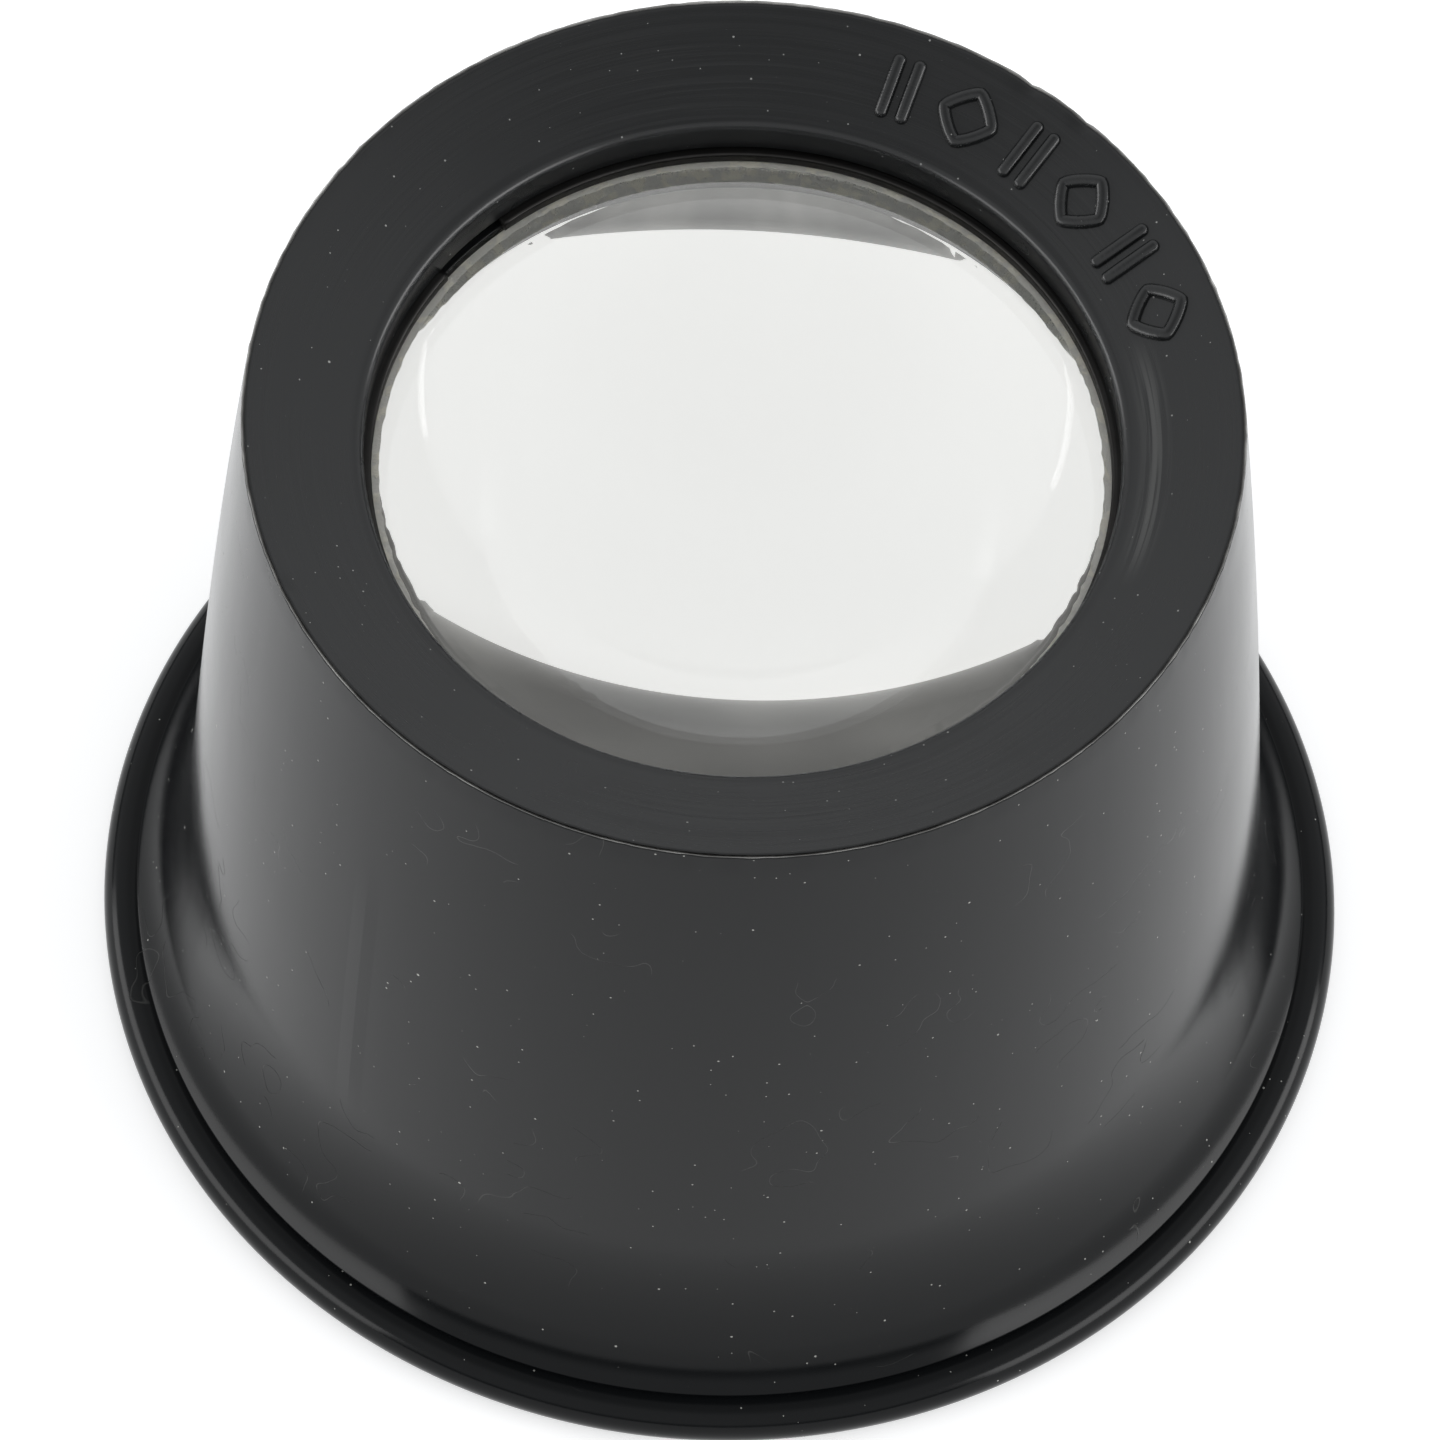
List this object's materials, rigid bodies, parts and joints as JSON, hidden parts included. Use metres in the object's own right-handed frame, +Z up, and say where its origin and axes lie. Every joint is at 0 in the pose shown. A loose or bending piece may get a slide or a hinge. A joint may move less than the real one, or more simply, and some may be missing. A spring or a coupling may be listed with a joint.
{
  "type": "viewing loupe",
  "caption": "Eye-held viewing loupe: a flared black eye cup with a beaded rim, closed by a screw-in front ring that carries a biconvex lens behind a split snap ring.",
  "frame": {"origin": "centre of the eye rim's resting face, the bottom centre of the loupe", "axes": "+Z up along the optical axis, from the eye rim to the lens end; the raised marks lie between +X and +Y on the lens end's face"},
  "size_m": [0.037, 0.037, 0.028],
  "materials": {
    "cup_plastic": "moulded black plastic, polished by handling",
    "ring_plastic": "moulded and faced black plastic, fine turning marks",
    "lens_glass": "polished faces, ground rim and bevels",
    "ring_spring": "blackened spring steel, bright at the worn edges"
  },
  "bodies": {
    "cup": {"eye_cup": "cup_plastic"},
    "optic": {"lens": "lens_glass"},
    "front": {"lens_ring": "ring_plastic", "snap_ring": "ring_spring"}
  },
  "joints": [
    {"name": "lens_lift", "type": "slide", "parent": "cup", "child": "optic", "axis": [0, 0, 1], "range_m": [0, 0.004]},
    {"name": "ring_turn", "type": "hinge", "parent": "optic", "child": "front", "pos_m": [0, 0, 0.025], "axis": [0, 0, 1], "range_deg": [0, 1440]}
  ],
  "couplings": [
    {"joint": "lens_lift", "follows": "ring_turn", "m_per_rad": 0.00015915}
  ]
}
